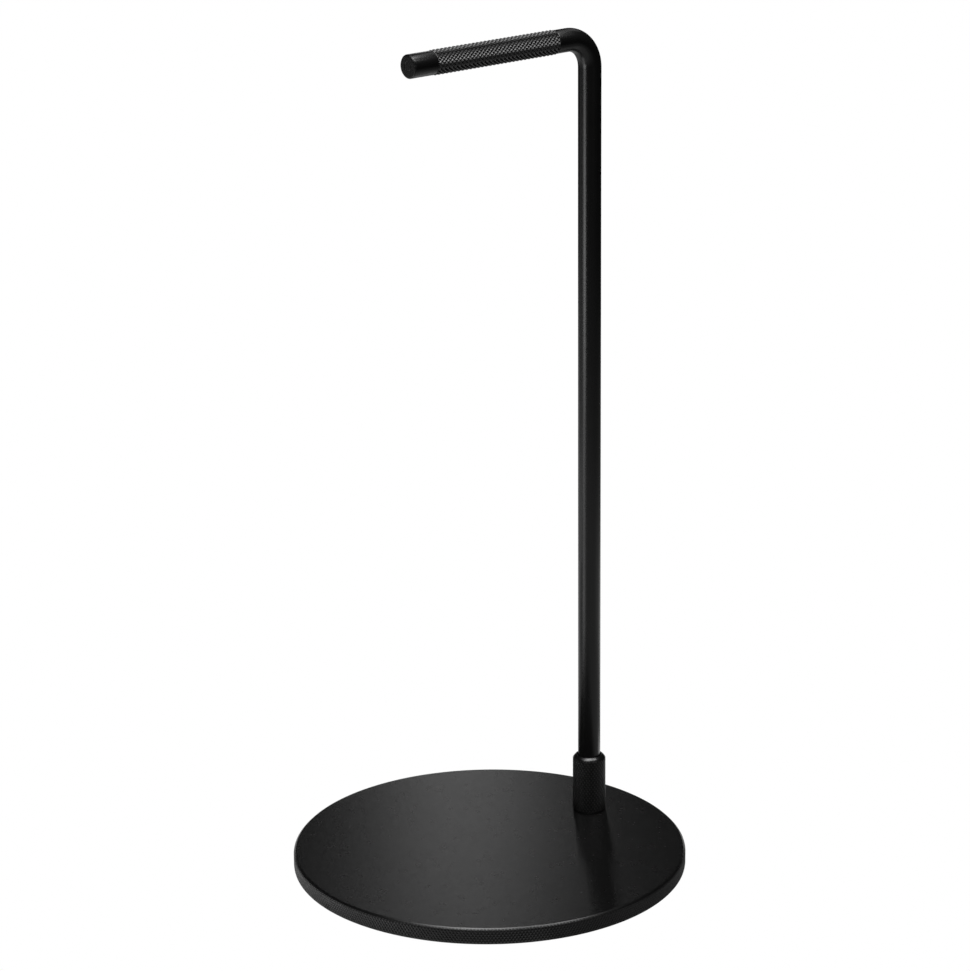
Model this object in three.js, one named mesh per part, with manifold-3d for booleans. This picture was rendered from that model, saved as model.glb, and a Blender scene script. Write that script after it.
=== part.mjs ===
// Headphone stand: a heavy round base with a knurled rim, a bent bar that is both the post and the arm,
// a knurled union nut that clamps the foot of the post in a threaded socket, and a knurled grip sleeve
// held on the arm by a screwed end cap.
//
// Millimetres, +Z up. The origin is the bottom centre of the base, on the surface that the stand rests on.
// The post stands at +Y and the arm points to -Y, over the middle of the base. x = 0 is the mirror plane.

import * as THREE from 'three';
import { mergeVertices } from 'three/addons/utils/BufferGeometryUtils.js';
import Module from 'manifold-3d';

// Base plate and the pad under it.
const BASE_RADIUS = 85;
const BASE_THICKNESS = 7;
const BASE_TOP_CHAMFER = 0.95;
const BASE_EDGE_BREAK = 0.3;
const PAD_RADIUS = 78;
const PAD_THICKNESS = 2;
const PAD_PROUD = 0.8;
const PAD_EDGE = 0.5;
const ADHESIVE_THICKNESS = 0.2;
const ACCESS_HOLE_RADIUS = 6;

// The bent bar.
const POST_Y = 58.9;
const BAR_RADIUS = 4.9;
const BEND_RADIUS = 12.9;
const ARM_HEIGHT = 354;
const ARM_REACH = 98;

// What the arm carries: the grip sleeve, the end cap and the stud between the cap and the bar.
const CAP_LENGTH = 12.2;
const CAP_CHAMFER = 0.45;
const GRIP_LENGTH = 65.5;
const GRIP_RADIUS = 5.2;
const CORE_RADIUS = 3.1;
const STUD_RADIUS = 2;
const STUD_LENGTH = 16;

// The knurled union nut round the foot of the post.
const NUT_RADIUS = 7.25;
const NUT_HEIGHT = 25.9;
const NUT_CHAMFER = 1.6;
const NUT_BORE = 5.15;
const NUT_CAVITY = 5.85;
const NUT_SHOULDER = 17.8;
const NUT_LIFT = 0.3;

// The socket that the nut screws on to, and the foot of the post in it.
const SOCKET_FLANGE = 6.2;
const SOCKET_SINK = 1.5;
const SOCKET_HEIGHT = 15.7;
const SOCKET_THREAD = 5.7;
const SOCKET_THREAD_TOP = 6.2;
const SOCKET_PILOT = 5.45;
const SPIGOT_RADIUS = 3.5;
const SPIGOT_LENGTH = 5.5;
const KEY_RADIUS = 1;
const KEY_LENGTH = 10.6;
const KEY_BELOW_SHOULDER = 2.8;

// The retaining ring and washer above the socket, and the ring in the nut's bore.
const RING_GROOVE_RADIUS = 4.5;
const RING_RADIUS = 5.45;
const RING_THICKNESS = 1;
const RING_ABOVE_SHOULDER = 2.05;
const WASHER_THICKNESS = 0.8;
const O_RING_CENTRE = 5.5;
const O_RING_SECTION = 0.45;
const O_RING_HEIGHT = 22.8;
const O_RING_GROOVE = { radius: 6, width: 1.4 };

// Fixings under the base.
const SCREW_RADIUS = 2.5;
const SCREW_HEAD_RADIUS = 4.7;
const SCREW_LENGTH = 12;
const SCREW_RECESS = 0.2;
const HEX_ACROSS_CORNERS = 3.46;
const HEX_DEPTH = 1.9;
const DOWEL_RADIUS = 0.75;
const DOWEL_LENGTH = 5;
const DOWEL_OFFSET = 4.3;

const GAP = 0.1;
const SMALL_EDGE = 0.3;
const BASE_SEGMENTS = 120;
const BAR_SEGMENTS = 32;

// Heights that follow from the sizes above.
const baseBottom = PAD_PROUD;
const baseTop = baseBottom + BASE_THICKNESS;
const recessTop = PAD_THICKNESS + ADHESIVE_THICKNESS;
const socketBottom = baseTop - SOCKET_SINK;
const postShoulder = socketBottom + SOCKET_HEIGHT;
const ringBottom = postShoulder + RING_ABOVE_SHOULDER;
const nutBottom = baseTop + NUT_LIFT;
const keyHeight = postShoulder - KEY_BELOW_SHOULDER;
const screwBottom = recessTop + SCREW_RECESS;
const capStart = POST_Y - ARM_REACH;
const gripStart = capStart + CAP_LENGTH;
const armShoulder = gripStart + GRIP_LENGTH;

const wasm = await Module();
wasm.setup();

// A closed geometry as a solid that can be joined and cut.
function solid(geometry) {
  const bare = geometry.clone();
  bare.deleteAttribute('normal');
  bare.deleteAttribute('uv');
  const merged = mergeVertices(bare, 1e-4);
  const index = merged.index.array;
  const triangles = [];
  for (let i = 0; i < index.length; i += 3) {
    const [a, b, c] = [index[i], index[i + 1], index[i + 2]];
    if (a !== b && b !== c && c !== a) {
      triangles.push(a, b, c);
    }
  }
  return new wasm.Manifold(new wasm.Mesh({
    numProp: 3,
    vertProperties: merged.attributes.position.array,
    triVerts: Uint32Array.from(triangles),
  }));
}

// A solid back as a geometry.
function geometryOf(body) {
  const mesh = body.getMesh();
  const geometry = new THREE.BufferGeometry();
  geometry.setAttribute('position', new THREE.BufferAttribute(mesh.vertProperties, 3));
  geometry.setIndex(new THREE.BufferAttribute(mesh.triVerts, 1));
  geometry.computeVertexNormals();
  return geometry;
}

// A turned part: the profile is a list of [radius, height] points, listed with the metal on the left.
function turned(profile, segments = BAR_SEGMENTS) {
  const points = profile.map(([radius, height]) => new THREE.Vector2(radius, height));
  return new THREE.LatheGeometry(points, segments).rotateX(Math.PI / 2);
}

// A turned part with a bore: the profile is closed on itself.
function turnedRing(profile, segments = BAR_SEGMENTS) {
  return turned([...profile, profile[0]], segments);
}

// A plain round bar from one height to another, with its edges broken.
function roundBar(radius, bottom, top, edge = SMALL_EDGE) {
  return turned([
    [0, bottom],
    [radius - edge, bottom],
    [radius, bottom + edge],
    [radius, top - edge],
    [radius - edge, top],
    [0, top],
  ]);
}

// A cutter: a sharp-edged round bar.
function drill(radius, bottom, top) {
  return turned([[0, bottom], [radius, bottom], [radius, top], [0, top]]);
}

// Moves a geometry made round the z axis to the axis of the post.
function onPost(geometry) {
  return geometry.translate(0, POST_Y, 0);
}

// Turns a geometry made round the z axis to the axis of the arm, its +z towards the post.
function onArm(geometry) {
  return geometry.rotateX(-Math.PI / 2).translate(0, 0, ARM_HEIGHT);
}

// The axis of the bar: up the post, a quarter turn, and level along the arm to its shoulder.
class BarAxis extends THREE.Curve {
  constructor(postSteps, bendSteps, armSteps) {
    super();
    this.postSteps = postSteps;
    this.bendSteps = bendSteps;
    this.armSteps = armSteps;
    this.steps = postSteps + bendSteps + armSteps;
  }

  // Keeps the stations where getPoint puts them, so that most of them lie in the bend.
  getUtoTmapping(u) {
    return u;
  }

  getPoint(t, target = new THREE.Vector3()) {
    const station = t * this.steps;
    const bendBottom = ARM_HEIGHT - BEND_RADIUS;
    const bendEnd = POST_Y - BEND_RADIUS;
    if (station <= this.postSteps) {
      const along = station / this.postSteps;
      return target.set(0, POST_Y, THREE.MathUtils.lerp(postShoulder, bendBottom, along));
    }
    if (station <= this.postSteps + this.bendSteps) {
      const angle = (station - this.postSteps) / this.bendSteps * Math.PI / 2;
      const y = bendEnd + BEND_RADIUS * Math.cos(angle);
      return target.set(0, y, bendBottom + BEND_RADIUS * Math.sin(angle));
    }
    const along = (station - this.postSteps - this.bendSteps) / this.armSteps;
    return target.set(0, THREE.MathUtils.lerp(bendEnd, armShoulder, along), ARM_HEIGHT);
  }
}

function basePlate() {
  const disc = solid(turned([
    [0, recessTop],
    [PAD_RADIUS + SMALL_EDGE, recessTop],
    [PAD_RADIUS + SMALL_EDGE, baseBottom],
    [BASE_RADIUS - BASE_EDGE_BREAK, baseBottom],
    [BASE_RADIUS, baseBottom + BASE_EDGE_BREAK],
    [BASE_RADIUS, baseTop - BASE_TOP_CHAMFER],
    [BASE_RADIUS - BASE_TOP_CHAMFER, baseTop],
    [0, baseTop],
  ], BASE_SEGMENTS));
  const countersinkTop = screwBottom + SCREW_HEAD_RADIUS - SCREW_RADIUS;
  const screwHole = solid(onPost(turned([
    [0, recessTop - 1],
    [SCREW_HEAD_RADIUS + SMALL_EDGE, recessTop - 1],
    [SCREW_HEAD_RADIUS + SMALL_EDGE, screwBottom],
    [SCREW_RADIUS + SMALL_EDGE, countersinkTop],
    [SCREW_RADIUS + SMALL_EDGE, socketBottom],
    [SOCKET_FLANGE + GAP, socketBottom],
    [SOCKET_FLANGE + GAP, baseTop + 1],
    [0, baseTop + 1],
  ])));
  return geometryOf(disc.subtract(screwHole).subtract(solid(dowelHole())));
}

// The hole that the dowel fills, half in the plate and half in the socket.
function dowelHole() {
  const bottom = socketBottom - DOWEL_LENGTH / 2 - GAP;
  const hole = drill(DOWEL_RADIUS + GAP, bottom, bottom + DOWEL_LENGTH + 2 * GAP);
  return onPost(hole.translate(0, DOWEL_OFFSET, 0));
}

function socketDowel() {
  const bottom = socketBottom - DOWEL_LENGTH / 2;
  return onPost(roundBar(DOWEL_RADIUS, bottom, bottom + DOWEL_LENGTH, 0.15).translate(0, DOWEL_OFFSET, 0));
}

function basePad() {
  const disc = solid(turned([
    [0, 0],
    [PAD_RADIUS - PAD_EDGE, 0],
    [PAD_RADIUS, PAD_EDGE],
    [PAD_RADIUS, PAD_THICKNESS],
    [0, PAD_THICKNESS],
  ], BASE_SEGMENTS));
  const access = onPost(drill(ACCESS_HOLE_RADIUS, -1, PAD_THICKNESS + 1));
  return geometryOf(disc.subtract(solid(access)));
}

function padAdhesive() {
  const film = solid(turned([
    [0, PAD_THICKNESS],
    [PAD_RADIUS - 1, PAD_THICKNESS],
    [PAD_RADIUS - 1, recessTop],
    [0, recessTop],
  ], BASE_SEGMENTS));
  const access = onPost(drill(ACCESS_HOLE_RADIUS + SMALL_EDGE, PAD_THICKNESS - 1, recessTop + 1));
  return geometryOf(film.subtract(solid(access)));
}

function postSocket() {
  const threadTop = baseTop + SOCKET_THREAD_TOP;
  const tapTop = screwBottom + SCREW_LENGTH + 1;
  const body = solid(onPost(turnedRing([
    [SCREW_RADIUS + GAP, socketBottom],
    [SOCKET_FLANGE, socketBottom],
    [SOCKET_FLANGE, baseTop],
    [SOCKET_THREAD, baseTop],
    [SOCKET_THREAD, threadTop],
    [SOCKET_PILOT, threadTop],
    [SOCKET_PILOT, postShoulder - SMALL_EDGE],
    [SOCKET_PILOT - SMALL_EDGE, postShoulder],
    [SPIGOT_RADIUS + GAP, postShoulder],
    [SPIGOT_RADIUS + GAP, tapTop],
    [SCREW_RADIUS + GAP, tapTop],
  ])));
  const slotWidth = 2 * (KEY_RADIUS + GAP);
  const slotFloor = keyHeight - KEY_RADIUS - GAP;
  const slotHeight = postShoulder + 1 - slotFloor;
  const slot = new THREE.BoxGeometry(4 * SOCKET_PILOT, slotWidth, slotHeight);
  const slots = solid(onPost(slot.translate(0, 0, slotFloor + slotHeight / 2)));
  return geometryOf(body.subtract(slots).subtract(solid(dowelHole())));
}

function baseScrew() {
  const coneTop = screwBottom + SCREW_HEAD_RADIUS - SCREW_RADIUS;
  const tip = screwBottom + SCREW_LENGTH;
  const body = solid(turned([
    [0, screwBottom],
    [SCREW_HEAD_RADIUS, screwBottom],
    [SCREW_RADIUS, coneTop],
    [SCREW_RADIUS, tip - 0.5],
    [SCREW_RADIUS - 0.5, tip],
    [0, tip],
  ]));
  const socketRadius = HEX_ACROSS_CORNERS / 2;
  const hexagon = new THREE.CylinderGeometry(socketRadius, socketRadius, HEX_DEPTH + 1, 6);
  hexagon.rotateX(Math.PI / 2).translate(0, 0, screwBottom + (HEX_DEPTH - 1) / 2);
  return onPost(geometryOf(body.subtract(solid(hexagon))));
}

// The bar: one sweep, with the spigot at its foot and the slim core at the arm's end added inside it.
function postRod() {
  const section = new THREE.Shape().absarc(0, 0, BAR_RADIUS, 0, 2 * Math.PI);
  const axis = new BarAxis(4, 16, 1);
  const sweep = new THREE.ExtrudeGeometry(section, {
    extrudePath: axis,
    steps: axis.steps,
    curveSegments: BAR_SEGMENTS / 2,
  });
  const rootDepth = 2;
  const spigot = onPost(roundBar(SPIGOT_RADIUS, postShoulder - SPIGOT_LENGTH, postShoulder + rootDepth));
  const core = onArm(roundBar(CORE_RADIUS, gripStart + SMALL_EDGE, armShoulder + rootDepth));
  const ringGroove = onPost(turnedRing([
    [RING_GROOVE_RADIUS, ringBottom - GAP / 2],
    [BAR_RADIUS + 1, ringBottom - GAP / 2],
    [BAR_RADIUS + 1, ringBottom + RING_THICKNESS + GAP / 2],
    [RING_GROOVE_RADIUS, ringBottom + RING_THICKNESS + GAP / 2],
  ]));
  const keyHole = drill(KEY_RADIUS + GAP, -2 * BAR_RADIUS, 2 * BAR_RADIUS);
  keyHole.rotateY(Math.PI / 2).translate(0, POST_Y, keyHeight);
  const studHole = onArm(drill(STUD_RADIUS + GAP, gripStart - 1, gripStart + STUD_LENGTH / 2 + GAP));
  const bar = solid(sweep).add(solid(spigot)).add(solid(core));
  return geometryOf(bar.subtract(solid(ringGroove)).subtract(solid(keyHole)).subtract(solid(studHole)));
}

function postKey() {
  const pin = roundBar(KEY_RADIUS, -KEY_LENGTH / 2, KEY_LENGTH / 2, 0.2);
  return pin.rotateY(Math.PI / 2).translate(0, POST_Y, keyHeight);
}

// A C-shaped ring of square wire, open at the back.
function snapRing() {
  const opening = THREE.MathUtils.degToRad(14);
  const inner = RING_GROOVE_RADIUS + GAP / 2;
  const start = Math.PI / 2 + opening;
  const end = Math.PI / 2 - opening + 2 * Math.PI;
  const outline = new THREE.Shape();
  outline.absarc(0, 0, RING_RADIUS, start, end, false);
  outline.absarc(0, 0, inner, end, start, true);
  const ring = new THREE.ExtrudeGeometry(outline, {
    depth: RING_THICKNESS,
    bevelEnabled: false,
    curveSegments: BAR_SEGMENTS / 2,
  });
  return onPost(ring.translate(0, 0, ringBottom));
}

function thrustWasher() {
  const bottom = ringBottom + RING_THICKNESS;
  return onPost(turnedRing([
    [BAR_RADIUS + GAP, bottom],
    [RING_RADIUS, bottom],
    [RING_RADIUS, bottom + WASHER_THICKNESS],
    [BAR_RADIUS + GAP, bottom + WASHER_THICKNESS],
  ]));
}

function collarNut() {
  const top = nutBottom + NUT_HEIGHT;
  const shoulder = nutBottom + NUT_SHOULDER;
  const grooveBottom = nutBottom + O_RING_HEIGHT - O_RING_GROOVE.width / 2;
  const grooveTop = grooveBottom + O_RING_GROOVE.width;
  return onPost(turnedRing([
    [NUT_CAVITY, nutBottom],
    [NUT_RADIUS - SMALL_EDGE, nutBottom],
    [NUT_RADIUS, nutBottom + SMALL_EDGE],
    [NUT_RADIUS, top - NUT_CHAMFER],
    [NUT_RADIUS - NUT_CHAMFER, top],
    [NUT_BORE + 0.2, top],
    [NUT_BORE, top - 0.2],
    [NUT_BORE, grooveTop],
    [O_RING_GROOVE.radius, grooveTop],
    [O_RING_GROOVE.radius, grooveBottom],
    [NUT_BORE, grooveBottom],
    [NUT_BORE, shoulder],
    [NUT_CAVITY, shoulder],
  ]));
}

function collarORing() {
  const ring = new THREE.TorusGeometry(O_RING_CENTRE, O_RING_SECTION, 8, BAR_SEGMENTS);
  return onPost(ring.translate(0, 0, nutBottom + O_RING_HEIGHT));
}

function gripSleeve() {
  const end = armShoulder - GAP / 2;
  return onArm(turnedRing([
    [CORE_RADIUS + GAP, gripStart],
    [GRIP_RADIUS - SMALL_EDGE, gripStart],
    [GRIP_RADIUS, gripStart + SMALL_EDGE],
    [GRIP_RADIUS, end - SMALL_EDGE],
    [GRIP_RADIUS - SMALL_EDGE, end],
    [CORE_RADIUS + GAP, end],
  ]));
}

function endCap() {
  const end = gripStart - GAP / 2;
  const holeBottom = gripStart - STUD_LENGTH / 2 - 1;
  return onArm(turned([
    [0, capStart],
    [BAR_RADIUS - CAP_CHAMFER, capStart],
    [BAR_RADIUS, capStart + CAP_CHAMFER],
    [BAR_RADIUS, end],
    [STUD_RADIUS + GAP, end],
    [STUD_RADIUS + GAP, holeBottom],
    [0, holeBottom],
  ]));
}

function capStud() {
  return onArm(roundBar(STUD_RADIUS, gripStart - STUD_LENGTH / 2, gripStart + STUD_LENGTH / 2));
}

const powderCoat = { color: 0x16171a, roughness: 0.55, metalness: 0.1 };
const blackSteel = { color: 0x1b1c1f, roughness: 0.45, metalness: 0.6 };
const bareSteel = { color: 0x9a9da1, roughness: 0.35, metalness: 1 };
const rubber = { color: 0x101011, roughness: 0.85, metalness: 0 };
const nylon = { color: 0xdedbd2, roughness: 0.6, metalness: 0 };
const adhesive = { color: 0xc9c4b4, roughness: 0.9, metalness: 0 };

const pieces = [
  ['base_plate', basePlate, powderCoat],
  ['base_pad', basePad, rubber],
  ['pad_adhesive', padAdhesive, adhesive],
  ['post_socket', postSocket, bareSteel],
  ['socket_dowel', socketDowel, bareSteel],
  ['base_screw', baseScrew, blackSteel],
  ['post_rod', postRod, powderCoat],
  ['post_key', postKey, bareSteel],
  ['snap_ring', snapRing, bareSteel],
  ['thrust_washer', thrustWasher, nylon],
  ['collar_nut', collarNut, powderCoat],
  ['collar_o_ring', collarORing, rubber],
  ['grip_sleeve', gripSleeve, powderCoat],
  ['end_cap', endCap, powderCoat],
  ['cap_stud', capStud, bareSteel],
];

const group = new THREE.Group();
for (const [name, make, finish] of pieces) {
  const mesh = new THREE.Mesh(make(), new THREE.MeshStandardMaterial(finish));
  mesh.name = name;
  group.add(mesh);
}

export default group;
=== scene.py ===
"""Looks for the headphone stand: turned, knurled and powder-coated steel, built round the frame."""

import math
from collections import namedtuple

import bmesh
import bpy
import numpy as np
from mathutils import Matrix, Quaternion, Vector


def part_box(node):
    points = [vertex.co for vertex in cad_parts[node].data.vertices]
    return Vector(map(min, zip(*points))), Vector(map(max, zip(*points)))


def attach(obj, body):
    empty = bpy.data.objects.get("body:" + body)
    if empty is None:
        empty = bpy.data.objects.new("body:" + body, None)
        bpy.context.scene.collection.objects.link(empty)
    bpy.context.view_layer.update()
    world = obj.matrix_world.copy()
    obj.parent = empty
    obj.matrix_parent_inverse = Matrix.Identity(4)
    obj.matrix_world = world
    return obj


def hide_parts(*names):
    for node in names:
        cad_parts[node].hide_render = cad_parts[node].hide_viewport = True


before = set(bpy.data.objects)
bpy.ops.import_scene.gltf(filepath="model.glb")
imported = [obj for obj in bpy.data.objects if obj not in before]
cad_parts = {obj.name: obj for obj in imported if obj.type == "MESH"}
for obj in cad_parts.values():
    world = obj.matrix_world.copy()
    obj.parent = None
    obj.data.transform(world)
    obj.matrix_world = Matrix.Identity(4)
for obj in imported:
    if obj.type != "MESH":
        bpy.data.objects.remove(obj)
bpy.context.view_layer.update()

MM = 0.001
TURN = 2 * math.pi


# ---- places, from the frame, in millimetres ----------------------------------------------------

def node_box(node):
    """Lowest and highest corner of a CAD node, in millimetres."""
    low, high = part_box(node)
    return np.array(low) / MM, np.array(high) / MM


plate_low, plate_high = node_box("base_plate")
pad_low, pad_high = node_box("base_pad")
film_low, film_high = node_box("pad_adhesive")
nut_low, nut_high = node_box("collar_nut")
socket_low, socket_high = node_box("post_socket")
rod_low, rod_high = node_box("post_rod")
grip_low, grip_high = node_box("grip_sleeve")
cap_low, cap_high = node_box("end_cap")
screw_low, screw_high = node_box("base_screw")
stud_low, stud_high = node_box("cap_stud")
washer_low, washer_high = node_box("thrust_washer")
seal_low, seal_high = node_box("collar_o_ring")
ring_low, _ = node_box("snap_ring")
key_low, key_high = node_box("post_key")

BASE_RADIUS = plate_high[0]
BASE_TOP = plate_high[2]
POST_Y = (nut_low[1] + nut_high[1]) / 2
ARM_Z = (cap_low[2] + cap_high[2]) / 2
BAR_RADIUS = rod_high[0]
GRIP_RADIUS = grip_high[0]
NUT_RADIUS = nut_high[0]
SHOULDER_Z = socket_high[2]

# ---- sizes of the details, in millimetres ------------------------------------------------------

PLATE_CHAMFER = 1.08
COLLAR_CHAMFER = 1.6
CAP_CHAMFER = 0.45

DIAMOND_WIDTH = 1.465
DIAMOND_HEIGHT = 2.09
GRIP_KNURL = 0.45
RIM_KNURL = 0.32
COLLAR_KNURL = 0.23

BEND_RADIUS = 12.9
BEND_LENGTH = BEND_RADIUS * math.pi / 2
STRAIGHT_LENGTH = ARM_Z - BEND_RADIUS - SHOULDER_Z
SPIGOT_RADIUS = 3.5
CORE_RADIUS = 3.1
RING_GROOVE_RADIUS = 4.5
RING_GROOVE_WIDTH = 1.1
KEY_HOLE_RADIUS = 1.05

UNION_PITCH = 0.75
NUT_THREAD_ROOT = 6.05
NUT_THREAD_TIP = 5.59
NUT_THREAD_LENGTH = 6.75
SOCKET_THREAD_ROOT = 5.5
SOCKET_THREAD_TIP = 5.96
SOCKET_THREAD_LENGTH = 6.2
SOCKET_BORE = 3.6

COLLAR_BORE = 5.15
COLLAR_CAVITY = 5.85
COLLAR_SHOULDER = 17.8
SEAL_GROOVE_RADIUS = 6.0
SEAL_GROOVE_WIDTH = 1.4

SCREW_PITCH = 0.8
SCREW_ROOT = 2.0
SCREW_TIP = 2.48
SCREW_TAP = 2.6
SCREW_HOLE = 2.8
SINK_RADIUS = 5.0
SINK_DEPTH = 2.2
RECESS_GAP = 0.3
POCKET_GAP = 0.1
PAD_HOLE = 6.0
FILM_HOLE = 6.3

STUD_PITCH = 0.7
STUD_ROOT = 1.6
STUD_TIP = 1.98
STUD_END = 1.4
STUD_HOLE_IN_BAR = 2.05
STUD_HOLE_IN_CAP = 2.1

# ---- how finely the skins are divided ----------------------------------------------------------

FACETS = 96
HOLE_FACETS = 64
KEY_HOLE_FACETS = 48
STUD_FACETS = 64
SOCKET_FACETS = 144
PAD_FACETS = 256
FILM_FACETS = 192
SEAL_STEPS = 24
BEND_STEPS = 40
FILLET_STEPS = 4
KNURL_STEPS = 3
THREAD_STEPS = 12
CREASE_ANGLE = math.radians(29)


# ---- shapes ------------------------------------------------------------------------------------

Ring = namedtuple("Ring", "radius height crest diagonal", defaults=(0.0, None))


def on_post(points):
    """From round the z axis to round the post's axis."""
    return points + np.array([0, POST_Y, 0])


def on_base(points):
    """Round the z axis of the base."""
    return points


def on_arm(points):
    """From round the z axis to round the arm's axis; heights become y."""
    return np.stack([points[:, 0], points[:, 2], ARM_Z - points[:, 1]], 1)


def across_post(points):
    """From round the z axis to round the cross pin's axis; heights become x."""
    key_z = (key_low[2] + key_high[2]) / 2
    return np.stack([points[:, 2], POST_Y + points[:, 1], key_z - points[:, 0]], 1)


def along_bar(points):
    """Heights become distances along the bent bar, from the shoulder at its foot."""
    past_straight = points[:, 2] - STRAIGHT_LENGTH
    angle = np.clip(past_straight / BEND_RADIUS, 0, math.pi / 2)
    before = np.minimum(past_straight, 0)
    after = np.maximum(past_straight - BEND_LENGTH, 0)
    y = POST_Y - BEND_RADIUS + BEND_RADIUS * np.cos(angle) - after
    z = ARM_Z - BEND_RADIUS + BEND_RADIUS * np.sin(angle) + before
    return np.stack([
        points[:, 0],
        y + points[:, 1] * np.cos(angle),
        z + points[:, 1] * np.sin(angle),
    ], 1)


def filleted(corners, closed=False):
    """A profile of (radius, height, fillet) corners, with each corner turned into an arc, as rings."""
    flat = [np.array(corner[:2], float) for corner in corners]
    rings = []
    for i, corner in enumerate(corners):
        here, fillet = flat[i], corner[2]
        at_end = not closed and i in (0, len(corners) - 1)
        if fillet == 0 or at_end:
            rings.append(Ring(*here))
            continue
        before = flat[i - 1] - here
        after = flat[(i + 1) % len(flat)] - here
        before /= np.linalg.norm(before)
        after /= np.linalg.norm(after)
        half = math.acos(max(-1.0, min(1.0, float(before @ after)))) / 2
        middle = before + after
        centre = here + middle / np.linalg.norm(middle) * fillet / math.sin(half)
        start = here + before * fillet / math.tan(half) - centre
        end = here + after * fillet / math.tan(half) - centre
        for step in range(FILLET_STEPS + 1):
            share = step / FILLET_STEPS
            spoke = start * (1 - share) + end * share
            rings.append(Ring(*(centre + spoke / np.linalg.norm(spoke) * fillet)))
    return rings


def zigzag(phase):
    """A triangle wave of period 1, which is 1 at whole numbers and 0 half way between them."""
    return np.abs(2 * (phase % 1) - 1)


def diamonds_round(radius):
    """How many diamonds fit round a cylinder."""
    return round(TURN * radius / DIAMOND_WIDTH)


def knurl_columns(diamonds):
    """How many points the skin of a knurl has round it."""
    return diamonds * 2 * KNURL_STEPS


def knurl(radius, low, high, diamonds, depth, flat, handled=1.0):
    """Rings of a diamond knurl: two crossing families of V grooves, with a 45 degree run-out at both ends.

    flat is where the points are cut off, as a share of their full height. handled is how much they are worn.
    """
    column = np.arange(knurl_columns(diamonds))
    rows = round((high - low) / (DIAMOND_HEIGHT / 2) * KNURL_STEPS)
    rings = []
    for row in range(rows + 1):
        height = low + (high - low) * row / rows
        across, up = column / KNURL_STEPS, row / KNURL_STEPS
        crest = np.minimum(zigzag((across + up) / 2), zigzag((across - up) / 2))
        crest = np.clip(crest / flat, 0.08, 1)
        run_out = radius - depth + min(height - low, high - height)
        surface = np.minimum(radius - depth * (1 - crest), run_out)
        diagonal = (column // KNURL_STEPS + row // KNURL_STEPS) % 2 == 1
        rings.append(Ring(surface, height, crest * handled, diagonal))
    return rings


def thread(root, tip, low, high, pitch, count):
    """Rings of a right-hand thread with flattened tips, which runs out to its root at both ends."""
    column = np.arange(count)
    rows = round((high - low) / pitch * THREAD_STEPS)
    rings = []
    for row in range(rows + 1):
        height = low + (high - low) * row / rows
        outward = np.clip(zigzag(height / pitch - column / count) * 1.3 - 0.15, 0, 1)
        ridge = abs(tip - root) * (outward if tip > root else 1 - outward)
        ridge = np.minimum(ridge, 2 * min(height - low, high - height))
        rings.append(Ring(root + math.copysign(1, tip - root) * ridge, height))
    return rings


def skin(rings, count, place, ends):
    """Vertices, faces and crests of a turned skin. ends: caps, loop or open."""
    turn = np.arange(count) * TURN / count
    cosine, sine = np.cos(turn), np.sin(turn)
    points = []
    crests = []
    for ring in rings:
        radius = np.broadcast_to(ring.radius, count)
        points.append(np.stack([radius * cosine, radius * sine, np.full(count, ring.height)], 1))
        crests.append(np.broadcast_to(ring.crest, count))
    here = np.arange(count)
    beside = (here + 1) % count
    faces = []
    last = len(rings) if ends == "loop" else len(rings) - 1
    for j in range(last):
        low, high = j * count, (j + 1) % len(rings) * count
        a, b = low + here, low + beside
        c, d = high + beside, high + here
        if rings[j].diagonal is None:
            faces += np.stack([a, b, c, d], 1).tolist()
        else:
            main = rings[j].diagonal
            first = np.where(main[:, None], np.stack([a, b, c], 1), np.stack([a, b, d], 1))
            second = np.where(main[:, None], np.stack([a, c, d], 1), np.stack([b, c, d], 1))
            faces += first.tolist() + second.tolist()
    if ends == "caps":
        faces.append(here[::-1].tolist())
        faces.append((here + (len(rings) - 1) * count).tolist())
    vertices = place(np.concatenate(points)) * MM
    return vertices, faces, np.concatenate(crests)


def piece(name, vertices, faces, crests):
    """An object with smooth faces, sharp creases and the crest attribute that the coats read."""
    mesh = bpy.data.meshes.new(name)
    mesh.from_pydata(vertices.tolist(), [], faces)
    attribute = mesh.attributes.new("crest", "FLOAT", "POINT")
    attribute.data.foreach_set("value", np.asarray(crests, np.float32))
    finish_mesh(mesh)
    made = bpy.data.objects.new(name, mesh)
    bpy.context.scene.collection.objects.link(made)
    return made


def finish_mesh(mesh):
    """Smooth shading with creases kept sharp."""
    mesh.validate()
    mesh.shade_smooth()
    mesh.set_sharp_from_angle(angle=CREASE_ANGLE)


def lathe(name, rings, count, place, ends="caps"):
    """A turned piece."""
    return piece(name, *skin(rings, count, place, ends))


def drilled_disc(name, outside, outside_count, hole):
    """A disc with one hole through it at the post: both are open skins, and flat faces join their edges."""
    vertices, faces, crests = skin(outside, outside_count, on_base, "open")
    hole_vertices, hole_faces, hole_crests = skin(hole, HOLE_FACETS, on_post, "open")
    shifted = [[i + len(vertices) for i in face] for face in hole_faces]
    made = piece(
        name,
        np.concatenate([vertices, hole_vertices]),
        faces + shifted,
        np.concatenate([crests, hole_crests]),
    )
    rims = bmesh.new()
    rims.from_mesh(made.data)
    for height, upward in ((outside[0].height, -1), (outside[-1].height, 1)):
        loops = [
            edge for edge in rims.edges
            if edge.is_boundary and all(abs(v.co.z / MM - height) < 1e-3 for v in edge.verts)
        ]
        filled = bmesh.ops.triangle_fill(rims, use_beauty=True, edges=loops, normal=(0, 0, upward))
        for face in filled["geom"]:
            if isinstance(face, bmesh.types.BMFace) and face.normal.z * upward < 0:
                face.normal_flip()
    rims.to_mesh(made.data)
    rims.free()
    finish_mesh(made.data)
    return made


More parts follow.
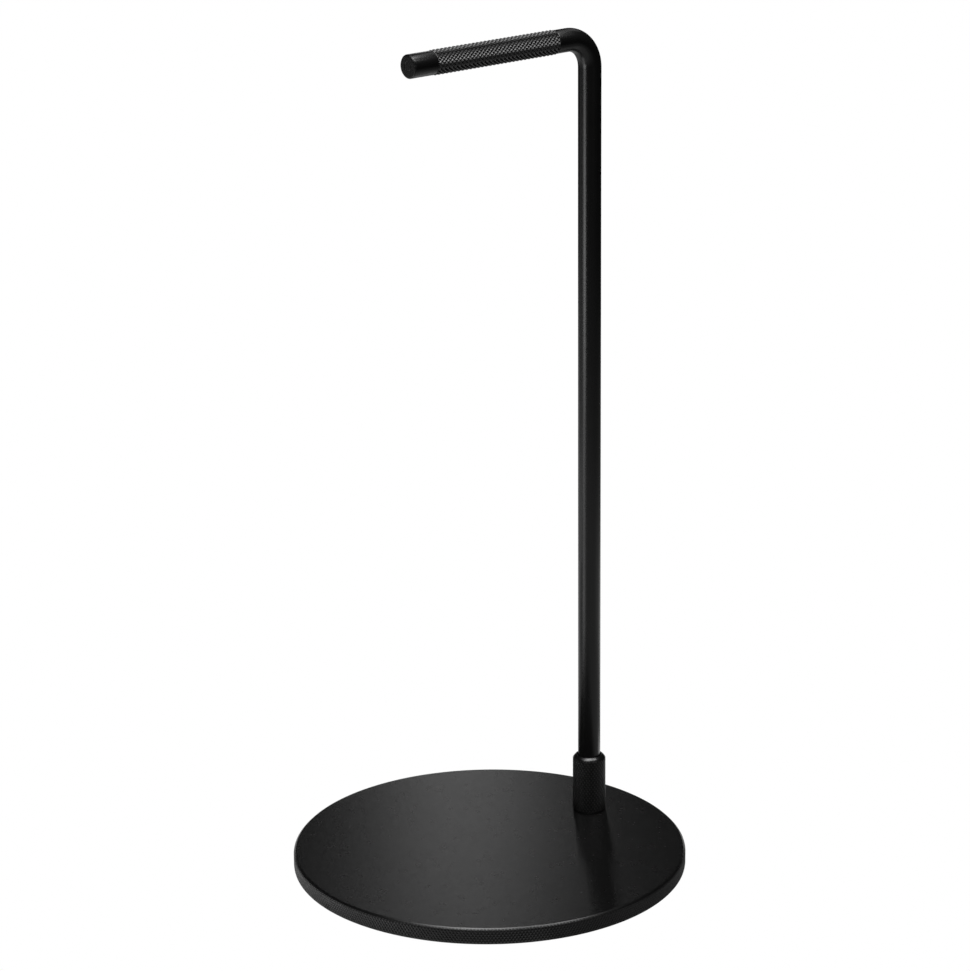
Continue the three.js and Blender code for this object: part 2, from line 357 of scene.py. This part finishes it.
def cut(target, cutter):
    """Takes the cutter's shape out of the target, and the cutter out of the scene."""
    modifier = target.modifiers.new("cut", "BOOLEAN")
    modifier.operation = "DIFFERENCE"
    modifier.solver = "EXACT"
    modifier.object = cutter
    view = bpy.context.evaluated_depsgraph_get()
    target.data = bpy.data.meshes.new_from_object(target.evaluated_get(view))
    target.modifiers.clear()
    bpy.data.objects.remove(cutter)
    finish_mesh(target.data)
    return target


def block(name, low, high):
    """A box between two corners in millimetres, for cutting."""
    corners = [(x, y, z) for x in (low[0], high[0]) for y in (low[1], high[1]) for z in (low[2], high[2])]
    faces = [(0, 1, 3, 2), (4, 6, 7, 5), (0, 4, 5, 1), (2, 3, 7, 6), (0, 2, 6, 4), (1, 5, 7, 3)]
    return piece(name, np.array(corners, float) * MM, faces, np.zeros(8))


# ---- pieces ------------------------------------------------------------------------------------

def base_disc():
    """The base plate: knurled rim, chamfered top edge, recess for the pad, and the screw's stepped hole."""
    recess_radius = pad_high[0] + RECESS_GAP
    pocket_radius = socket_high[0] + POCKET_GAP
    knurl_top = BASE_TOP - PLATE_CHAMFER + RIM_KNURL
    diamonds = diamonds_round(BASE_RADIUS)
    outside = [Ring(recess_radius, film_high[2])]
    outside += filleted([
        (recess_radius, film_high[2], 0),
        (recess_radius, plate_low[2], 0.25),
        (BASE_RADIUS - RIM_KNURL, plate_low[2], 0),
    ])[1:-1]
    outside += knurl(BASE_RADIUS, plate_low[2], knurl_top, diamonds, RIM_KNURL, 0.75)
    outside += filleted([
        (BASE_RADIUS - RIM_KNURL, knurl_top, 0),
        (BASE_RADIUS - PLATE_CHAMFER, BASE_TOP, 0.15),
        (BASE_RADIUS - 1.5, BASE_TOP, 0),
    ])[1:]
    hole = filleted([
        (pocket_radius, BASE_TOP, 0),
        (pocket_radius, socket_low[2], 0),
        (SCREW_HOLE, socket_low[2], 0),
        (SCREW_HOLE, screw_low[2] + SINK_DEPTH, 0),
        (SINK_RADIUS, screw_low[2], 0),
        (SINK_RADIUS, film_high[2], 0),
    ])
    return drilled_disc("base_disc", outside, knurl_columns(diamonds), hole)


def pad_disc():
    """The non-slip pad, with an access hole under the screw."""
    outside = filleted([
        (pad_high[0] - 2, pad_low[2], 0),
        (pad_high[0], pad_low[2], 0.7),
        (pad_high[0], pad_high[2], 0),
    ])
    hole = filleted([
        (PAD_HOLE, pad_high[2], 0),
        (PAD_HOLE, pad_low[2], 0.3),
        (PAD_HOLE + 0.6, pad_low[2], 0),
    ])
    return drilled_disc("pad_disc", outside, PAD_FACETS, hole)


def film_disc():
    """The adhesive film above the pad."""
    outside = [Ring(film_high[0], film_low[2]), Ring(film_high[0], film_high[2])]
    hole = [Ring(FILM_HOLE, film_high[2]), Ring(FILM_HOLE, film_low[2])]
    return drilled_disc("pad_film", outside, FILM_FACETS, hole)


def bent_bar():
    """The bar that is post and arm: spigot, ring groove, bend, shoulder and the core inside the grip."""
    bend_end = STRAIGHT_LENGTH + BEND_LENGTH
    arm_end = bend_end + (POST_Y - BEND_RADIUS) - grip_high[1]
    tip = arm_end + (grip_high[1] - rod_low[1])
    bore_end = tip - (stud_high[1] + 0.1 - rod_low[1])
    spigot_end = rod_low[2] - SHOULDER_Z
    groove = ring_low[2] - SHOULDER_Z - 0.05
    rings = filleted([
        (0.5, spigot_end, 0),
        (SPIGOT_RADIUS, spigot_end, 0.4),
        (SPIGOT_RADIUS, 0, 0.15),
        (BAR_RADIUS, 0, 0.2),
        (BAR_RADIUS, groove, 0.05),
        (RING_GROOVE_RADIUS, groove, 0.05),
        (RING_GROOVE_RADIUS, groove + RING_GROOVE_WIDTH, 0.05),
        (BAR_RADIUS, groove + RING_GROOVE_WIDTH, 0.05),
        (BAR_RADIUS, STRAIGHT_LENGTH, 0),
    ])
    for step in range(1, BEND_STEPS + 1):
        rings.append(Ring(BAR_RADIUS, STRAIGHT_LENGTH + BEND_LENGTH * step / BEND_STEPS))
    rings += filleted([
        (BAR_RADIUS, bend_end, 0),
        (BAR_RADIUS, arm_end, 0.2),
        (CORE_RADIUS, arm_end, 0.1),
        (CORE_RADIUS, tip, 0.3),
        (STUD_HOLE_IN_BAR, tip, 0.1),
        (STUD_HOLE_IN_BAR, bore_end, 0),
    ])[1:]
    bar = lathe("bent_bar", rings, FACETS, along_bar)
    drill = [Ring(KEY_HOLE_RADIUS, -8), Ring(KEY_HOLE_RADIUS, 8)]
    return cut(bar, lathe("key_hole", drill, KEY_HOLE_FACETS, across_post))


def collar():
    """The union nut: knurled outside, chamfered top, seal groove, shoulder and the thread at its mouth."""
    low, high = nut_low[2], nut_high[2]
    knurl_top = high - COLLAR_CHAMFER + COLLAR_KNURL
    diamonds = diamonds_round(NUT_RADIUS)
    columns = knurl_columns(diamonds)
    shoulder = low + COLLAR_SHOULDER
    seal_z = (seal_low[2] + seal_high[2]) / 2
    groove_top, groove_foot = seal_z + SEAL_GROOVE_WIDTH / 2, seal_z - SEAL_GROOVE_WIDTH / 2
    thread_top = low + NUT_THREAD_LENGTH
    bulge = COLLAR_CHAMFER / 2 - 0.2
    rings = knurl(NUT_RADIUS, low, knurl_top, diamonds, COLLAR_KNURL, 0.6, 0.88)
    rings += filleted([
        (NUT_RADIUS - COLLAR_KNURL, knurl_top, 0),
        (NUT_RADIUS - bulge, high - bulge, 4.0),
        (NUT_RADIUS - COLLAR_CHAMFER, high, 0.15),
        (COLLAR_BORE, high, 0.2),
        (COLLAR_BORE, groove_top, 0.08),
        (SEAL_GROOVE_RADIUS, groove_top, 0.1),
        (SEAL_GROOVE_RADIUS, groove_foot, 0.1),
        (COLLAR_BORE, groove_foot, 0.08),
        (COLLAR_BORE, shoulder, 0.1),
        (COLLAR_CAVITY, shoulder, 0.1),
        (COLLAR_CAVITY, thread_top, 0),
    ])[1:]
    rings += thread(NUT_THREAD_ROOT, NUT_THREAD_TIP, low + 0.1, thread_top, UNION_PITCH, columns)[::-1]
    rings += [Ring(NUT_THREAD_ROOT + 0.05, low)]
    return lathe("collar", rings, columns, on_post, "loop")


def socket():
    """The threaded boss in the plate, slotted for the post's cross pin."""
    low, high = socket_low[2], socket_high[2]
    thread_low, thread_top = BASE_TOP + 0.3, BASE_TOP + SOCKET_THREAD_LENGTH
    neck = SOCKET_THREAD_ROOT - 0.05
    rings = filleted([
        (SCREW_TAP, low, 0.1),
        (socket_high[0], low, 0.2),
        (socket_high[0], BASE_TOP, 0.15),
        (SOCKET_THREAD_ROOT, BASE_TOP, 0.1),
    ])
    rings += thread(SOCKET_THREAD_ROOT, SOCKET_THREAD_TIP, thread_low, thread_top, UNION_PITCH, SOCKET_FACETS)
    rings += filleted([
        (neck, thread_top, 0),
        (neck, high, 0.3),
        (SOCKET_BORE, high, 0.3),
        (SOCKET_BORE, screw_high[2] + 1, 0.1),
        (SCREW_TAP, screw_high[2] + 1, 0),
    ])
    body = lathe("socket", rings, SOCKET_FACETS, on_post, "loop")
    slot_low = (-8, POST_Y - 1.1, key_low[2] - 0.1)
    return cut(body, block("slots", slot_low, (8, POST_Y + 1.1, high + 2)))


def hexagon(corner_radius):
    """Radii of a hexagon's outline at evenly spaced angles."""
    angle = np.arange(FACETS) * TURN / FACETS
    from_flat = (angle + math.pi / 6) % (math.pi / 3) - math.pi / 6
    return corner_radius * math.cos(math.pi / 6) / np.cos(from_flat)


def countersunk_screw():
    """The M5 screw: flat countersunk head with a hexagon socket, and its thread."""
    low, high = screw_low[2], screw_high[2]
    rings = [
        Ring(0.3, low + 2.1),
        Ring(hexagon(1.70), low + 1.9),
        Ring(hexagon(1.73), low + 0.15),
        Ring(hexagon(1.73) + 0.15, low),
    ]
    rings += filleted([
        (2.2, low, 0),
        (screw_high[0], low, 0.12),
        (2.5, low + SINK_DEPTH, 0),
    ])
    rings += thread(SCREW_ROOT, SCREW_TIP, low + 2.9, high, SCREW_PITCH, FACETS)
    rings.append(Ring(1.6, high))
    return lathe("base_screw_m5", rings, FACETS, on_post)


def grip():
    """The knurled sleeve on the arm."""
    low, high = grip_low[1], grip_high[1]
    diamonds = diamonds_round(GRIP_RADIUS - GRIP_KNURL / 2)
    rings = knurl(GRIP_RADIUS, low, high, diamonds, GRIP_KNURL, 0.9)
    rings += [Ring(CORE_RADIUS + 0.1, high), Ring(CORE_RADIUS + 0.1, low)]
    return lathe("grip", rings, knurl_columns(diamonds), on_arm, "loop")


def end_cap():
    """The smooth cap, with an engraved ring on its face and a tapped hole for the stud."""
    low, high = cap_low[1], cap_high[1]
    rings = [Ring(1.0, low)]
    for radius, depth in ((1.55, 0), (1.7, 0.12), (1.95, 0.12), (2.1, 0)):
        rings.append(Ring(radius, low + depth, 1.0 if depth else 0.0))
    rings += filleted([
        (3.0, low, 0),
        (BAR_RADIUS - CAP_CHAMFER, low, 0.12),
        (BAR_RADIUS, low + CAP_CHAMFER, 0.15),
        (BAR_RADIUS, high, 0.15),
        (STUD_HOLE_IN_CAP, high, 0.1),
        (STUD_HOLE_IN_CAP, stud_low[1] - 1, 0),
    ])
    return lathe("arm_end_cap", rings, FACETS, on_arm)


def stud():
    """The threaded stud between the cap and the bar."""
    low, high = stud_low[1], stud_high[1]
    helix = thread(STUD_ROOT, STUD_TIP, low, high, STUD_PITCH, STUD_FACETS)
    rings = [Ring(STUD_END, low)] + helix + [Ring(STUD_END, high)]
    return lathe("threaded_stud", rings, STUD_FACETS, on_arm)


def seal():
    """The rubber ring in the collar's bore."""
    section = (seal_high[2] - seal_low[2]) / 2
    middle = seal_high[0] - section
    height = (seal_low[2] + seal_high[2]) / 2
    turns = [TURN * step / SEAL_STEPS for step in range(SEAL_STEPS)]
    rings = [Ring(middle + section * math.cos(a), height + section * math.sin(a)) for a in turns]
    return lathe("collar_seal", rings, FACETS, on_post, "loop")


def washer():
    """The nylon washer under the collar's shoulder."""
    low, high = washer_low[2], washer_high[2]
    inner, outer = BAR_RADIUS + 0.1, washer_high[0]
    corners = [(inner, low, 0.08), (outer, low, 0.08), (outer, high, 0.08), (inner, high, 0.08)]
    return lathe("nylon_washer", filleted(corners, closed=True), FACETS, on_post, "loop")


# ---- materials ---------------------------------------------------------------------------------

# Heights of the grain, in metres.
COAT_GRAIN = 0.000046
TOOL_MARKS = 0.00003
RUBBER_GRAIN = 0.00012
PLASTIC_GRAIN = 0.00004


class Nodes:
    """A small helper that adds and links the nodes of one material."""

    def __init__(self, name):
        self.material = bpy.data.materials.new(name)
        self.material.use_nodes = True
        self.tree = self.material.node_tree
        self.shader = self.tree.nodes["Principled BSDF"]

    def feed(self, target, value):
        """Links a node's output to an input, or sets the input to a constant."""
        if isinstance(value, bpy.types.NodeSocket):
            self.tree.links.new(value, target)
        else:
            target.default_value = value

    def add(self, kind, inputs=None, **settings):
        """A new node with its settings and inputs."""
        node = self.tree.nodes.new(kind)
        for key, value in settings.items():
            setattr(node, key, value)
        for key, value in (inputs or {}).items():
            self.feed(node.inputs[key], value)
        return node

    def place(self):
        """Where a point is on the piece itself, so that the grain rides with it."""
        return self.add("ShaderNodeTexCoord").outputs["Object"]

    def noise(self, scale, detail, roughness=0.6):
        """A cloudy pattern, mostly between 0.3 and 0.7."""
        return self.add(
            "ShaderNodeTexNoise",
            {"Vector": self.place(), "Scale": scale, "Detail": detail, "Roughness": roughness},
        ).outputs["Fac"]

    def spread(self, value, low, high, out_low, out_high):
        """A value stretched from one range to another, and held at its ends."""
        return self.add(
            "ShaderNodeMapRange",
            {"Value": value, "From Min": low, "From Max": high, "To Min": out_low, "To Max": out_high},
        ).outputs["Result"]

    def mix(self, share, first, second):
        """Two colours mixed. The numbers are the places of the colour mode's sockets."""
        return self.add("ShaderNodeMix", {0: share, 6: first, 7: second}, data_type="RGBA").outputs[2]

    def bump(self, height, strength, distance):
        """A normal for grain that is distance metres high at full strength."""
        inputs = {"Height": height, "Strength": strength, "Distance": distance}
        return self.add("ShaderNodeBump", inputs).outputs["Normal"]

    def set(self, **inputs):
        """Feeds the shader's inputs."""
        for key, value in inputs.items():
            self.feed(self.shader.inputs[key.replace("_", " ")], value)


def grey(value, warmth=0.0):
    """A near-neutral colour."""
    return (value * (1 + warmth), value, value * (1 - warmth), 1)


def coat(name, base, roughness, grain, wear):
    """Black powder coat: fine sandy grain, soft mottling, and worn points where the knurl stands highest."""
    n = Nodes(name)
    fine = n.noise(2600, 2, 0.55)
    specks = n.noise(300, 3, 0.55)
    broad = n.noise(140, 3, 0.5)
    colour = n.mix(n.spread(broad, 0.3, 0.7, 0, 1), grey(base * 0.9), grey(base * 1.1))
    crest = n.add("ShaderNodeAttribute", attribute_name="crest").outputs["Fac"]
    worn = n.add("ShaderNodeMath", {0: n.spread(crest, 0.7, 1, 0, wear), 1: fine}, operation="MULTIPLY")
    colour = n.mix(worn.outputs[0], colour, grey(0.14, 0.02))
    n.set(
        Base_Color=colour,
        Roughness=n.spread(specks, 0.3, 0.7, roughness - 0.01, roughness + 0.01),
        Normal=n.bump(fine, grain, COAT_GRAIN),
        IOR=1.5,
    )
    return n.material


def steel(name, base, roughness):
    """Turned steel: fine tool marks in bands along z, and a little stain."""
    n = Nodes(name)
    marks = n.add(
        "ShaderNodeTexWave",
        {"Vector": n.place(), "Scale": 900.0, "Distortion": 1.5, "Detail": 2.0},
        bands_direction="Z",
    ).outputs["Fac"]
    stain = n.noise(300, 4)
    n.set(
        Base_Color=n.mix(stain, grey(base * 0.8, 0.01), grey(base * 1.1, 0.01)),
        Roughness=n.spread(marks, 0, 1, roughness - 0.06, roughness + 0.08),
        Metallic=1.0,
        Normal=n.bump(marks, 0.12, TOOL_MARKS),
    )
    return n.material


def rubber(name, base, roughness, grain):
    """Moulded rubber: a leathery grain, with faint dust in it."""
    n = Nodes(name)
    cells = n.add("ShaderNodeTexVoronoi", {"Vector": n.place(), "Scale": 700.0}).outputs["Distance"]
    dust = n.noise(120, 5)
    n.set(
        Base_Color=n.mix(n.spread(dust, 0.45, 0.8, 0, 0.5), grey(base), grey(base * 2.2)),
        Roughness=n.spread(dust, 0.3, 0.7, roughness - 0.05, roughness + 0.05),
        Normal=n.bump(cells, grain, RUBBER_GRAIN),
    )
    return n.material


def plastic(name, colour, roughness):
    """Moulded plastic or film, with slight clouding."""
    n = Nodes(name)
    cloud = n.noise(200, 4)
    dark = tuple(c * 0.85 for c in colour)
    n.set(
        Base_Color=n.mix(cloud, (*dark, 1), (*colour, 1)),
        Roughness=n.spread(cloud, 0.3, 0.7, roughness - 0.05, roughness + 0.05),
        Normal=n.bump(n.noise(1500, 2), 0.1, PLASTIC_GRAIN),
    )
    return n.material


# ---- stage -------------------------------------------------------------------------------------

# Metres and degrees.
FLOOR_Z = -0.0002
FLOOR_REACH = 20
LIGHT_FLOOR_Z = -0.0001
SOFTBOX_AIM = (0, 0, 0.15)
CAMERA_AIM = (-0.0001, -0.0006, 0.1717)
CAMERA_AZIMUTH = 49.097
CAMERA_ELEVATION = 17.873
CAMERA_DISTANCE = 1.398
CAMERA_ROLL = -0.5314
LENS_MM = 123.64
SENSOR_MM = 36
ROOM_BRIGHTNESS = 0.004
FLOOR_PAINT = 0.02

# Name, azimuth, elevation, distance, width, height and brightness of each light in the air.
SOFTBOXES = (
    ("key_top", 60, 84, 1.3, 0.5, 0.5, 4.5),
    ("key_front", 45, 68, 1.3, 0.5, 0.5, 8.5),
    ("key_left", 12, 62, 1.3, 0.5, 0.5, 5),
    ("key_middle", 88, 69, 1.3, 0.28, 0.28, 6),
    ("key_right", 105, 60, 1.3, 0.5, 0.5, 4),
    ("key_far_right", 126, 59, 1.3, 0.3, 0.3, 8),
    ("top_back", 180, 72, 1.3, 0.5, 0.5, 5),
    ("top_far", 250, 70, 1.3, 0.5, 0.5, 1.3),
    ("top_left", 340, 62, 1.3, 0.5, 0.5, 1.3),
    ("back_high", 205, 42, 1.3, 0.4, 0.4, 0.5),
    ("back_band", 230.1, 18, 1.4, 0.1, 0.4, 1.1),
    ("back_low", 230, 9, 1.4, 0.15, 0.2, 0.38),
    ("fill_front", 45, 14, 1.6, 0.7, 0.35, 0.4),
    ("fill_left", 310, 12, 1.6, 1.0, 0.3, 0.3),
    ("side_low", 90, 15, 1.4, 0.45, 0.3, 1.2),
)

# Name, azimuth, near end, far end, width and brightness of each light on the floor.
FLOOR_STRIPS = (
    ("strip_far", 0, 0.6, 2.2, 0.24, 4.3),
    ("strip_far_left", -12, 0.6, 2.2, 0.24, 2.3),
    ("strip_near", -12, 0.15, 0.6, 0.09, 1.7),
    ("strip_near_right", 0, 0.15, 0.6, 0.07, 0.7),
    ("left_card", -50, 0.3, 1.9, 0.8, 0.25),
    ("left_near_card", -38, 0.12, 0.5, 0.25, 0.3),
    ("left_back_card", -100, 0.2, 0.9, 0.5, 0.3),
    ("end_card", -45, 0.95, 1.45, 0.5, 6),
    ("back_card", -135, 0.1, 0.8, 0.4, 0.4),
    ("right_card", 150, 0.17, 0.42, 0.3, 0.13),
    ("right_near_card", 200, 0.05, 0.085, 0.1, 1.1),
    ("front_card", 32, 0.12, 0.19, 0.25, 0.3),
)

# Name, radius and brightness of each round light on the floor, under the base.
FLOOR_GLOWS = (
    ("glow_rim", 0.11, 0.25),
    ("glow_near", 0.4, 0.3),
    ("glow_wide", 0.75, 0.1),
)


def aim(thing, place, target, roll=0.0):
    """Puts a light or the camera at a place, pointing at a target."""
    thing.location = place
    thing.rotation_mode = "QUATERNION"
    direction = Vector(target) - Vector(place)
    thing.rotation_quaternion = direction.to_track_quat("-Z", "Y") @ Quaternion((0, 0, 1), roll)


def spherical(azimuth, elevation, distance, centre):
    """A place round a centre. Azimuth 0 is in front of the stand, at -Y, and 90 is at +X."""
    a, e = math.radians(azimuth), math.radians(elevation)
    way = Vector((math.sin(a) * math.cos(e), -math.cos(a) * math.cos(e), math.sin(e)))
    return Vector(centre) + way * distance


def camera():
    """A long lens that looks down on the middle of the stand, turned half a degree about its axis."""
    data = bpy.data.cameras.new("camera")
    data.lens = LENS_MM
    data.sensor_width = SENSOR_MM
    data.clip_start, data.clip_end = 0.05, 50
    made = bpy.data.objects.new("camera", data)
    bpy.context.scene.collection.objects.link(made)
    place = spherical(CAMERA_AZIMUTH, CAMERA_ELEVATION, CAMERA_DISTANCE, CAMERA_AIM)
    aim(made, place, CAMERA_AIM, math.radians(CAMERA_ROLL))
    bpy.context.scene.camera = made


def area_light(name, shape, width, height, brightness):
    """A soft light that the camera doesn't see directly; its power follows from its size and brightness."""
    data = bpy.data.lights.new(name, "AREA")
    data.shape = shape
    data.size, data.size_y = width, height
    area = width * height * (math.pi / 4 if shape == "ELLIPSE" else 1)
    data.energy = brightness * math.pi * area
    made = bpy.data.objects.new(name, data)
    made.visible_camera = False
    bpy.context.scene.collection.objects.link(made)
    return made


def softbox(name, azimuth, elevation, distance, width, height, brightness):
    """A rectangular light in the air, which points at the stand."""
    made = area_light(name, "RECTANGLE", width, height, brightness)
    aim(made, spherical(azimuth, elevation, distance, SOFTBOX_AIM), SOFTBOX_AIM)


def floor_strip(name, azimuth, near, far, width, brightness):
    """A light lying on the floor and shining up, along one direction from the foot of the post."""
    made = area_light(name, "RECTANGLE", width, far - near, brightness)
    made.location = spherical(azimuth, 0, (near + far) / 2, (0, POST_Y * MM, LIGHT_FLOOR_Z))
    made.rotation_euler = (math.pi, 0, math.radians(azimuth) + math.pi)


def floor_glow(name, radius, brightness):
    """A round light on the floor, under the base and past its rim."""
    made = area_light(name, "ELLIPSE", 2 * radius, 2 * radius, brightness)
    made.location = (0, 0, LIGHT_FLOOR_Z)
    made.rotation_euler = (math.pi, 0, 0)


def seen_and_reflected(tree, target, seen, reflected):
    """One look where the camera sees a thing directly, and another in reflections and as light."""
    path = tree.nodes.new("ShaderNodeLightPath")
    both = tree.nodes.new("ShaderNodeMixShader")
    tree.links.new(path.outputs["Is Camera Ray"], both.inputs[0])
    tree.links.new(reflected, both.inputs[1])
    tree.links.new(seen, both.inputs[2])
    tree.links.new(both.outputs[0], target)


def surroundings():
    """A white backdrop for the camera, and an almost black room in reflections."""
    world = bpy.data.worlds.new("studio")
    world.use_nodes = True
    tree = world.node_tree
    tree.nodes.clear()
    seen = tree.nodes.new("ShaderNodeBackground")
    dim = tree.nodes.new("ShaderNodeBackground")
    for background in (seen, dim):
        background.inputs["Color"].default_value = (1, 1, 1, 1)
    dim.inputs["Strength"].default_value = ROOM_BRIGHTNESS
    output = tree.nodes.new("ShaderNodeOutputWorld")
    seen_and_reflected(tree, output.inputs["Surface"], seen.outputs[0], dim.outputs[0])
    bpy.context.scene.world = world
    bpy.context.scene.view_settings.view_transform = "Standard"


def floor():
    """A floor that looks white, hardly lights the stand, and reaches far behind it."""
    mesh = bpy.data.meshes.new("floor")
    corners = [(x * FLOOR_REACH, y * FLOOR_REACH, 0) for x, y in ((-1, -1), (1, -1), (1, 1), (-1, 1))]
    mesh.from_pydata(corners, [], [(0, 1, 2, 3)])
    made = bpy.data.objects.new("floor", mesh)
    made.location.z = FLOOR_Z
    bpy.context.scene.collection.objects.link(made)
    material = bpy.data.materials.new("floor_white")
    material.use_nodes = True
    tree = material.node_tree
    tree.nodes.clear()
    white = tree.nodes.new("ShaderNodeEmission")
    white.inputs["Strength"].default_value = 1.0
    paint = tree.nodes.new("ShaderNodeBsdfDiffuse")
    paint.inputs["Color"].default_value = grey(FLOOR_PAINT)
    output = tree.nodes.new("ShaderNodeOutputMaterial")
    seen_and_reflected(tree, output.inputs["Surface"], white.outputs[0], paint.outputs[0])
    mesh.materials.append(material)


# ---- the build ---------------------------------------------------------------------------------

def dress(made, material, body, slot, *nodes):
    """Gives a piece its material and body, and hides the CAD nodes that it stands for. The slot is not used.
    """
    made.data.materials.clear()
    made.data.materials.append(material)
    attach(made, body)
    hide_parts(*nodes)


camera()
surroundings()
floor()
for light in SOFTBOXES:
    softbox(*light)
for light in FLOOR_STRIPS:
    floor_strip(*light)
for light in FLOOR_GLOWS:
    floor_glow(*light)

satin = coat("powder_coat_satin", 0.003, 0.265, 0.3, 0.0)
knurled = coat("powder_coat_knurled", 0.004, 0.26, 0.25, 0.4)
bare_steel = steel("turned_steel", 0.5, 0.28)
black_steel = steel("black_oxide_steel", 0.03, 0.4)
pad_rubber = rubber("silicone_pad", 0.012, 0.7, 0.35)
seal_rubber = rubber("nitrile_rubber", 0.01, 0.5, 0.08)
nylon = plastic("natural_nylon", (0.75, 0.73, 0.66), 0.45)
film = plastic("adhesive_film", (0.6, 0.57, 0.48), 0.6)

dress(base_disc(), satin, "stand", "powder_coat", "base_plate")
dress(pad_disc(), pad_rubber, "stand", "pad_rubber", "base_pad")
dress(film_disc(), film, "stand", "adhesive_film", "pad_adhesive")
dress(bent_bar(), satin, "stand", "powder_coat", "post_rod")
dress(collar(), knurled, "collar", "knurled_coat", "collar_nut")
dress(seal(), seal_rubber, "friction_ring", "o_ring_rubber", "collar_o_ring")
dress(socket(), bare_steel, "stand", "bare_steel", "post_socket")
dress(countersunk_screw(), black_steel, "stand", "black_screw", "base_screw")
dress(grip(), knurled, "stand", "knurled_coat", "grip_sleeve")
dress(end_cap(), satin, "stand", "powder_coat", "end_cap")
dress(stud(), bare_steel, "stand", "bare_steel", "cap_stud")
dress(washer(), nylon, "stand", "nylon", "thrust_washer")

for name in ("socket_dowel", "post_key", "snap_ring"):
    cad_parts[name].data.materials.clear()
    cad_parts[name].data.materials.append(bare_steel)
